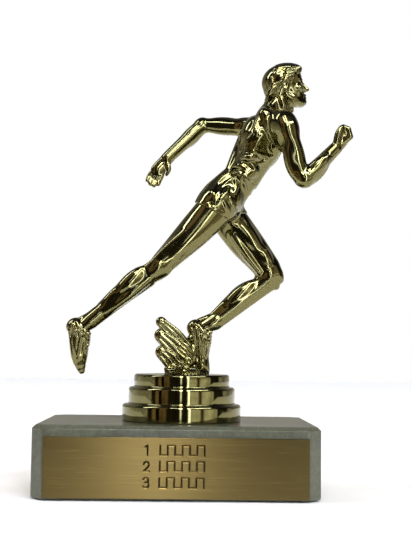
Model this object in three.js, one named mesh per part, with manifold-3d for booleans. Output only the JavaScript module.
// A sports award: a metallised runner on a stepped round riser, bolted through a bevelled marble
// block that carries an engraving plate. Millimetres, +Z up, the runner faces +X, the plate faces -Y.
// The origin is on the axis of the threaded rod, in the plane that the felt stands on.
import * as THREE from "three";
import { mergeVertices } from "three/addons/utils/BufferGeometryUtils.js";
import Module from "manifold-3d";

const wasm = await Module();
wasm.setup();

// ---------------------------------------------------------------- driving dimensions
const FELT = { thick: 0.5, inset: 2.5 };
const MARBLE = { wide: 101.6, deep: 63.5, tall: 25.4, cornerCut: 4, topBevel: 1.3, footBevel: 0.5 };
const MARBLE_SHIFT_X = -1.5; // the block is drilled a little right of its middle
const HOLE_R = 3.2;
const COUNTERBORE = { r: 11, deep: 9.5 };
const PLATE = { wide: 92.5, tall: 21, thick: 0.6, cornerR: 0.8 };
const ADHESIVE = { thick: 0.3, inset: 1 };
const ROD = { r: 2.4, chamfer: 0.4, below: 7.6, above: 11 };
const NUT = { acrossFlats: 9.5, thick: 3.2 };
const LOCK_WASHER = { outerR: 4.3, innerR: 2.7, thick: 1.2, split: 1 };
const WASHER = { outerR: 9.5, innerR: 2.7, thick: 1.2 };
const RISER = { tall: 17.5, wall: 2.2, roof: 2.6, bossR: 8, ribThick: 1.6, ribs: 4 };
const PEG = { r: 1.5, long: 3, spread: 4.5 };
const PLINTH = { x: 1.6, y: 4.5, r: 8.8, tall: 1.4 };
const STATION_SOLE = 43.9; // the height that the figure stands at in the stations of its limbs and wing
const GAP = 0.3; // left between a piece and a neighbour that was cut to take it

const BLOCK_BOTTOM = FELT.thick;
const BLOCK_TOP = BLOCK_BOTTOM + MARBLE.tall;
const RISER_TOP = BLOCK_TOP + RISER.tall;
const FACE_Y = -MARBLE.deep / 2;

// ---------------------------------------------------------------- finishes
const finish = (name, color, roughness, metalness) =>
  new THREE.MeshStandardMaterial({ name, color, roughness, metalness });
const GOLD = finish("gold_plating", 0xb9a557, 0.08, 1);
const STONE = finish("marble", 0x8f978a, 0.35, 0);
const BRASS = finish("brushed_brass", 0x9c8652, 0.35, 1);
const ZINC = finish("zinc_plate", 0xb4b8bb, 0.3, 1);
const WOOL = finish("felt", 0x24352a, 0.95, 0);
const TAPE = finish("adhesive", 0xdcd8cc, 0.6, 0);

// ---------------------------------------------------------------- solids and booleans
// A closed geometry as a manifold-3d solid.
function solid(geometry) {
  const bare = geometry.clone();
  bare.deleteAttribute("normal");
  bare.deleteAttribute("uv");
  const merged = mergeVertices(bare, 1e-4);
  const vertProperties = new Float32Array(merged.attributes.position.array);
  const triVerts = new Uint32Array(merged.index.array);
  return new wasm.Manifold(new wasm.Mesh({ numProp: 3, vertProperties, triVerts }));
}

function geometryOf(made) {
  const mesh = made.getMesh();
  return new THREE.BufferGeometry()
    .setAttribute("position", new THREE.BufferAttribute(new Float32Array(mesh.vertProperties), 3))
    .setIndex(new THREE.BufferAttribute(new Uint32Array(mesh.triVerts), 1));
}

const join = (geometries) => geometries.map(solid).reduce((sum, next) => sum.add(next));
const cut = (body, tools) => tools.map(solid).reduce((left, tool) => left.subtract(tool), body);

const award = new THREE.Group();
function addPiece(name, material, geometry, position = [0, 0, 0]) {
  geometry.computeVertexNormals();
  const mesh = new THREE.Mesh(geometry, material);
  mesh.name = name;
  mesh.position.set(...position);
  award.add(mesh);
}

// An upright cylinder or prism from z = bottom to z = top.
function post(radius, bottom, top, sides = 32, [x, y] = [0, 0]) {
  return new THREE.CylinderGeometry(radius, radius, top - bottom, sides)
    .rotateX(Math.PI / 2)
    .translate(x, y, (bottom + top) / 2);
}

// A profile of [radius, height] points turned about +Z.
function turned(profile, segments = 40) {
  const points = profile.map(([r, z]) => new THREE.Vector2(r, z));
  return new THREE.LatheGeometry(points, segments).rotateX(Math.PI / 2);
}

// ---------------------------------------------------------------- marble block, felt and plate
// A rectangle with its corners cut off at 45 degrees.
function cutCornerShape(wide, deep, corner) {
  const [a, b] = [wide / 2, deep / 2];
  const points = [
    [a, corner - b], [a, b - corner], [a - corner, b], [corner - a, b],
    [-a, b - corner], [-a, corner - b], [corner - a, -b], [a - corner, -b],
  ];
  return new THREE.Shape(points.map(([x, y]) => new THREE.Vector2(x, y)));
}

function marbleBlock() {
  const { wide, deep, tall, cornerCut, topBevel, footBevel } = MARBLE;
  const slab = (bevel) =>
    new THREE.ExtrudeGeometry(cutCornerShape(wide - 2 * bevel, deep - 2 * bevel, cornerCut - bevel / 2), {
      depth: tall - 2 * bevel,
      bevelThickness: bevel,
      bevelSize: bevel,
      bevelSegments: 1,
    }).translate(0, 0, bevel);
  // The upper part takes the wide polished bevel, and the lower part the narrow one at the foot.
  const upper = solid(slab(topBevel)).subtract(solid(post(wide, -1, tall / 2, 4)));
  const lower = solid(slab(footBevel)).subtract(solid(post(wide, tall / 2, tall + 1, 4)));
  const holes = [post(HOLE_R, -1, tall + 1), post(COUNTERBORE.r, -1, COUNTERBORE.deep, 48)];
  const drilled = cut(upper.add(lower).translate([MARBLE_SHIFT_X, 0, 0]), holes);
  return geometryOf(drilled).translate(0, 0, BLOCK_BOTTOM);
}

function feltSheet() {
  const { wide, deep, cornerCut } = MARBLE;
  const shape = cutCornerShape(wide - 2 * FELT.inset, deep - 2 * FELT.inset, cornerCut);
  return new THREE.ExtrudeGeometry(shape, { depth: FELT.thick, bevelEnabled: false });
}

// An upright sheet on the front face, from its back plane towards -Y.
function frontSheet(wide, tall, thick, cornerR) {
  const [a, b] = [wide / 2 - cornerR, tall / 2 - cornerR];
  const shape = new THREE.Shape();
  shape.absarc(a, b, cornerR, 0, Math.PI / 2);
  shape.absarc(-a, b, cornerR, Math.PI / 2, Math.PI);
  shape.absarc(-a, -b, cornerR, Math.PI, 1.5 * Math.PI);
  shape.absarc(a, -b, cornerR, 1.5 * Math.PI, 2 * Math.PI);
  const options = { depth: thick, bevelEnabled: false, curveSegments: 4 };
  return new THREE.ExtrudeGeometry(shape, options).rotateX(Math.PI / 2);
}

// ---------------------------------------------------------------- fasteners
function hexNut() {
  const corner = NUT.acrossFlats / Math.sqrt(3);
  const blank = solid(post(corner, 0, NUT.thick, 6));
  const edge = { wide: 0.5, tall: 0.35 };
  const rounding = turned([[0, 0], [corner - edge.wide, 0], [corner, edge.tall],
    [corner, NUT.thick - edge.tall], [corner - edge.wide, NUT.thick], [0, NUT.thick]], 36);
  const rounded = blank.intersect(solid(rounding));
  return geometryOf(cut(rounded, [post(ROD.r + GAP, -1, NUT.thick + 1, 24)]));
}

function ring(outerR, innerR, thick) {
  return turned([[innerR, 0], [outerR, 0], [outerR, thick], [innerR, thick], [innerR, 0]], 40);
}

function splitWasher() {
  const { outerR, innerR, thick, split } = LOCK_WASHER;
  const slot = new THREE.BoxGeometry(outerR * 2, split, thick * 3).translate(outerR, 0, 0);
  return geometryOf(cut(solid(ring(outerR, innerR, thick)), [slot]));
}

function threadedRod(bottom, top) {
  const { r, chamfer } = ROD;
  return turned([[0, bottom], [r - chamfer, bottom], [r, bottom + chamfer], [r, top - chamfer],
    [r - chamfer, top], [0, top]], 24);
}

// ---------------------------------------------------------------- stepped riser
// Outside of the riser, from its foot to its roof: three bands, each a little narrower than the
// last, with a quarter-round shoulder that runs into a shallow groove.
function riserOutline() {
  const bands = [
    { foot: 0, shoulder: 4.8, r: 22.5, neck: 20.7 },
    { foot: 6.5, shoulder: 11, r: 20.2, neck: 18.4 },
    { foot: 12.8, shoulder: 16.2, r: 18, neck: 16.8 },
  ];
  const outline = [];
  bands.forEach(({ foot, shoulder, r, neck }, i) => {
    const end = i < bands.length - 1 ? bands[i + 1].foot : RISER.tall;
    outline.push([r, foot], [r - 0.3, shoulder]);
    for (const turn of [0.45, 1]) {
      const angle = (turn * Math.PI) / 2;
      outline.push([neck + (r - 0.3 - neck) * Math.cos(angle), shoulder + (end - shoulder) * Math.sin(angle)]);
    }
  });
  return outline;
}

function riser(nutBottom) {
  const { tall, wall, roof, bossR, ribThick, ribs } = RISER;
  const outside = riserOutline();
  const inside = [[0, tall - roof], [13.5, tall - roof], [15.2, tall - roof - 2], [15.5, 10],
    [17.7, 8], [17.9, 4], [22.5 - wall, 2.5], [22.5 - wall, 0]];
  let body = solid(turned([...outside, [0, tall], ...inside, outside[0]]));
  body = body.add(solid(post(bossR, 0, tall - roof / 2, 32)));
  for (let i = 0; i < ribs; i += 1) {
    const rib = new THREE.BoxGeometry(9, ribThick, tall - roof - 3).translate(11, 0, 0);
    rib.rotateZ(((i + 0.5) / ribs) * 2 * Math.PI).translate(0, 0, (tall - roof + 3) / 2);
    body = body.add(solid(rib));
  }
  const pocketR = NUT.acrossFlats / Math.sqrt(3) + GAP;
  const sockets = [-1, 1].map((side) =>
    post(PEG.r + GAP, tall - PEG.long - GAP, tall + 1, 16, [PLINTH.x + side * PEG.spread, PLINTH.y]));
  body = cut(body, [
    post(ROD.r + GAP, -1, ROD.above + 1, 24),
    post(pocketR, nutBottom - GAP, nutBottom + NUT.thick + GAP, 6),
    ...sockets,
  ]);
  return geometryOf(body).translate(0, 0, BLOCK_TOP);
}

// ---------------------------------------------------------------- runner
// A closed skin through elliptical sections. A station is [x, y, z, half thickness in the plane of
// the stride, half breadth across it, twist in degrees]; both ends are closed by low domes.
function limb(stations, rings = 8, sides = 12) {
  const along = new THREE.CatmullRomCurve3(stations.map((s) => new THREE.Vector3(s[0], s[1], s[2])));
  const across = new THREE.CatmullRomCurve3(
    stations.map((s) => new THREE.Vector3(s[3], s[4], s[5] ?? 0)));
  const sections = [];
  for (let i = 0; i <= rings; i += 1) {
    const centre = along.getPoint(i / rings);
    const tangent = along.getTangent(i / rings);
    const size = across.getPoint(i / rings);
    sections.push({ centre, tangent, size });
  }
  const domes = [0.5, 0.85];
  const capped = (section, sign) => domes.map((d) => ({
    ...section,
    centre: section.centre.clone().addScaledVector(section.tangent, sign * 0.6 * d * section.size.x),
    size: new THREE.Vector3(section.size.x * Math.sqrt(1 - d * d), section.size.y * Math.sqrt(1 - d * d),
      section.size.z),
  }));
  const [first, last] = [sections[0], sections.at(-1)];
  const all = [...capped(first, -1).reverse(), ...sections, ...capped(last, 1)];
  const tip = (section, sign) =>
    section.centre.clone().addScaledVector(section.tangent, sign * 0.6 * section.size.x);

  const position = [];
  for (const { centre, tangent, size } of all) {
    const side = new THREE.Vector3(0, 1, 0).addScaledVector(tangent, -tangent.y).normalize();
    const inPlane = new THREE.Vector3().crossVectors(side, tangent);
    for (const axis of [side, inPlane]) axis.applyAxisAngle(tangent, THREE.MathUtils.degToRad(size.z));
    for (let j = 0; j < sides; j += 1) {
      const angle = (j / sides) * 2 * Math.PI;
      const point = centre.clone().addScaledVector(inPlane, size.x * Math.cos(angle));
      position.push(...point.addScaledVector(side, size.y * Math.sin(angle)));
    }
  }
  const index = [];
  for (let i = 0; i < all.length - 1; i += 1) {
    for (let j = 0; j < sides; j += 1) {
      const [a, b] = [i * sides + j, i * sides + ((j + 1) % sides)];
      index.push(a, b, a + sides, b, b + sides, a + sides);
    }
  }
  const [start, end] = [position.length / 3, position.length / 3 + 1];
  position.push(...tip(first, -1), ...tip(last, 1));
  const lastRing = (all.length - 1) * sides;
  for (let j = 0; j < sides; j += 1) {
    const next = (j + 1) % sides;
    index.push(start, next, j, end, lastRing + j, lastRing + next);
  }
  const skin = new THREE.BufferGeometry()
    .setAttribute("position", new THREE.Float32BufferAttribute(position, 3))
    .setIndex(index);
  return skin;
}

function ball([x, y, z], [rx, ry, rz], tiltDegrees = 0) {
  return new THREE.SphereGeometry(1, 16, 10)
    .scale(rx, ry, rz)
    .rotateY(THREE.MathUtils.degToRad(tiltDegrees))
    .translate(x, y, z);
}

// The runner leans forward with the right arm and the left leg ahead. The right side is at -Y.
function trunk() {
  const torso = limb([
    [13, 0, 103, 5.4, 8.2, -8], [14.2, 0, 108.6, 8.4, 11.2, -8], [17, 0, 114.4, 7.6, 11, -4],
    [20.8, 0, 119.8, 6.4, 9.6, 2], [24, 0, 124.8, 7.2, 10.2, 8], [27.5, 0, 130.2, 8.2, 11.4, 14],
    [29.6, 0, 136, 8.4, 12, 18], [31, 0, 140.8, 7, 11, 20], [32, 0, 144.6, 5, 7, 20],
  ], 12, 18);
  const neck = limb([[32.6, 0, 140, 5.6, 5.4], [35.8, 0, 146, 5.4, 4.4], [37.8, 0, 152, 4.8, 4]], 5);
  const trapezius = [-1, 1].map((side) =>
    limb([[34.6, side * 2, 148.6, 3, 2.4], [31.4, side * 5.6, 143.8, 3.2, 3],
      [31.6, side * 10, 140, 2, 2]], 4, 10));
  const buttocks = [-1, 1].map((side) => ball([11.2 + side, side * 5.4, 109.8], [5.4, 6, 4.8], 20));
  return [torso, neck, ...trapezius, ...buttocks];
}

function head() {
  return [
    ball([37.3, 0, 157.8], [7.8, 6, 7.6], -12),
    limb([[39.5, 0, 156.6, 4.8, 5], [42.6, 0, 153.4, 4.4, 4.5], [45.4, 0, 150.8, 2.8, 2.8]], 4, 12),
    ball([42.4, 0, 161.6], [3.4, 4.2, 2.8], 20),
    ball([46, 0, 155.4], [1.9, 1.1, 1.7], -20),
    ...[-1, 1].map((side) => ball([38.6, side * 5.9, 156], [1.3, 0.8, 1.9], -12)),
  ];
}

function rightArm() {
  return [
    limb([[36, -9.6, 140.4, 4.8, 4.2], [38, -13.4, 136, 4.6, 4.4], [39.6, -14.6, 130, 4.1, 3.8],
      [41.2, -15.2, 122.6, 4, 3.4], [43.8, -15.4, 117.4, 3.6, 3.1]], 10, 12),
    limb([[44.4, -15.4, 117, 3.5, 3], [48.6, -14.9, 119.8, 3.6, 3.1], [52.2, -13.8, 125, 3.1, 2.8],
      [56.6, -12.2, 131, 2.3, 2.3], [58, -11.6, 133, 2.3, 2.4]], 9, 12),
    limb([[57.8, -11.5, 131.6, 2.6, 2.8], [59.8, -11.2, 134.6, 3.3, 3.1], [60.9, -11, 137.6, 2.3, 3]], 4, 12),
  ];
}

function leftArm() {
  return [
    limb([[29.4, 9.6, 139.6, 4.8, 4.4], [24, 13.2, 142, 4, 3.9], [16.8, 15.4, 143.2, 3.5, 3.4],
      [10.4, 16, 143.7, 3.1, 3], [7, 16.1, 143.2, 3.2, 2.9]], 10, 12),
    limb([[7.2, 16.1, 143, 3.1, 2.9], [2, 15.6, 138.9, 3.3, 2.9], [-3.6, 14.6, 132.8, 2.9, 2.5],
      [-7.2, 13.6, 129.3, 2.4, 2]], 8, 12),
    limb([[-7, 13.6, 129.2, 2.4, 1.8], [-9.4, 13.2, 125.7, 3.6, 1.9], [-11.7, 12.6, 122.4, 3.5, 1.8],
      [-13.9, 12, 119.6, 2.2, 1.5]], 5, 12),
  ];
}

function rightLeg() {
  return [
    limb([[12.4, -5.2, 108.8, 7.6, 6], [7, -6.2, 102.4, 6.8, 6.2], [2.9, -6.8, 98, 6.2, 6],
      [-4, -7, 90, 5.2, 5.1], [-8.6, -6.8, 85.4, 4.5, 4.6], [-11.6, -6.7, 82.4, 4.3, 4.4],
      [-16, -6.6, 79.6, 4.6, 4.4], [-20.3, -6.5, 76.4, 4.6, 4.3], [-26, -6.3, 71.4, 3.9, 3.7],
      [-32, -6.1, 65.8, 3.2, 3.1], [-35.6, -6, 62.8, 3.2, 3]], 18, 12),
    limb([[-39.4, -6, 61.4, 3.2, 2.6], [-38.5, -6, 58.2, 4.4, 2.9], [-38.3, -6, 51, 3.4, 3.1],
      [-37.7, -6, 44.9, 1.7, 2.3]], 7, 12),
    ball([-39.9, -6, 61.2], [3.4, 2.6, 3]),
  ];
}

function leftLeg() {
  return [
    limb([[16.6, 5.2, 107.6, 7, 6], [20.7, 6.2, 100.7, 6.4, 6.1], [25, 6.8, 95.6, 6, 5.8],
      [31, 7, 87.8, 5.2, 5], [33.4, 7, 84.4, 4.8, 4.8]], 11, 12),
    limb([[33.6, 7, 82.6, 4.8, 4.6], [28.8, 6.9, 78.9, 4.8, 4.5], [24.3, 6.7, 75.2, 4.8, 4.4],
      [17.6, 6.4, 69.2, 4, 3.7], [12.6, 6.2, 65, 3.3, 3.2], [9.4, 6, 62.6, 3.4, 2.9]], 11, 12),
    ball([34.6, 7, 83], [4.7, 4.7, 5.2], 50),
    limb([[6.4, 6, 62, 3.4, 2.6], [7.6, 6, 59.6, 4.4, 2.9], [7.4, 6, 52, 3.1, 3],
      [7.6, 6, 45, 2.7, 3.2]], 7, 12),
    ball([5.8, 6, 61.4], [3.4, 2.6, 3]),
  ];
}

const runnerParts = () =>
  [...trunk(), ...head(), ...rightArm(), ...leftArm(), ...rightLeg(), ...leftLeg()];

// The wing fans out behind the standing foot: feathers from one root, longest on top, on a mound.
function wing() {
  const root = new THREE.Vector3(5, 4.8, 48);
  const feathers = [
    { tip: [-8.6, 3.4, 64.6], r: 1.9 }, { tip: [-10.2, 3.6, 61], r: 1.7 },
    { tip: [-10, 3.8, 57.4], r: 1.9 }, { tip: [-10, 4, 53.4], r: 1.8 },
    { tip: [-8.6, 4.2, 49.6], r: 1.8 }, { tip: [-5.8, 4.4, 46.8], r: 1.6 },
  ];
  const blades = feathers.map(({ tip, r }) => {
    const end = new THREE.Vector3(...tip);
    const middle = root.clone().lerp(end, 0.55);
    return limb([[...root, r, 2.2], [...middle, r * 1.1, 1.9], [...end, r * 0.8, 1.3]], 4, 8);
  });
  const shoulder = limb([[-1, 4.5, 47, 3.4, 2.2], [3.4, 5, 50.4, 4, 2.4], [4.6, 5.4, 54.6, 2.6, 2.2]], 4, 10);
  return [...blades, shoulder, ball([1.6, 4.8, 44], [7.6, 5, 3.6])];
}

function runnerFigure() {
  const { x, y, r, tall } = PLINTH;
  const plinth = turned([[0, 0], [r, 0], [r - 0.1, tall * 0.4], [r * 0.85, tall * 0.85],
    [r * 0.6, tall], [0, tall]], 32);
  plinth.translate(x, y, RISER_TOP);
  const pegs = [-1, 1].map((side) =>
    post(PEG.r, RISER_TOP - PEG.long, RISER_TOP + tall / 2, 16, [x + side * PEG.spread, y]));
  const above = solid(post(80, RISER_TOP, RISER_TOP + 200, 4));
  const figure = join([...runnerParts(), ...wing()]).translate([0, 0, RISER_TOP - STATION_SOLE]);
  const body = figure.add(solid(plinth)).intersect(above);
  return geometryOf(body.add(join(pegs)));
}

// ---------------------------------------------------------------- the award, from the felt up
addPiece("felt_pad", WOOL, feltSheet(), [MARBLE_SHIFT_X, 0, 0]);
addPiece("marble_base", STONE, marbleBlock());

const plateMiddle = [MARBLE_SHIFT_X, BLOCK_BOTTOM + MARBLE.footBevel + PLATE.tall / 2];
const [tapeWide, tapeTall] = [PLATE.wide, PLATE.tall].map((size) => size - 2 * ADHESIVE.inset);
const tape = frontSheet(tapeWide, tapeTall, ADHESIVE.thick, 0.5);
addPiece("plate_adhesive", TAPE, tape, [plateMiddle[0], FACE_Y, plateMiddle[1]]);
const plate = frontSheet(PLATE.wide, PLATE.tall, PLATE.thick, PLATE.cornerR);
const tapeFace = FACE_Y - ADHESIVE.thick;
addPiece("engraving_plate", BRASS, plate, [plateMiddle[0], tapeFace, plateMiddle[1]]);

const seat = BLOCK_BOTTOM + COUNTERBORE.deep;
const lockBottom = seat - WASHER.thick - LOCK_WASHER.thick;
const flatWasher = ring(WASHER.outerR, WASHER.innerR, WASHER.thick);
addPiece("flat_washer", ZINC, flatWasher, [0, 0, seat - WASHER.thick]);
addPiece("lock_washer", ZINC, splitWasher(), [0, 0, lockBottom]);
addPiece("clamp_nut", ZINC, hexNut(), [0, 0, lockBottom - NUT.thick]);
addPiece("threaded_rod", ZINC, threadedRod(seat - ROD.below, BLOCK_TOP + ROD.above));

const insertHeight = 5; // of the nut moulded into the riser's boss, above the block
addPiece("insert_nut", ZINC, hexNut(), [0, 0, BLOCK_TOP + insertHeight]);
addPiece("riser", GOLD, riser(insertHeight));
addPiece("runner_figure", GOLD, runnerFigure());

export default award;
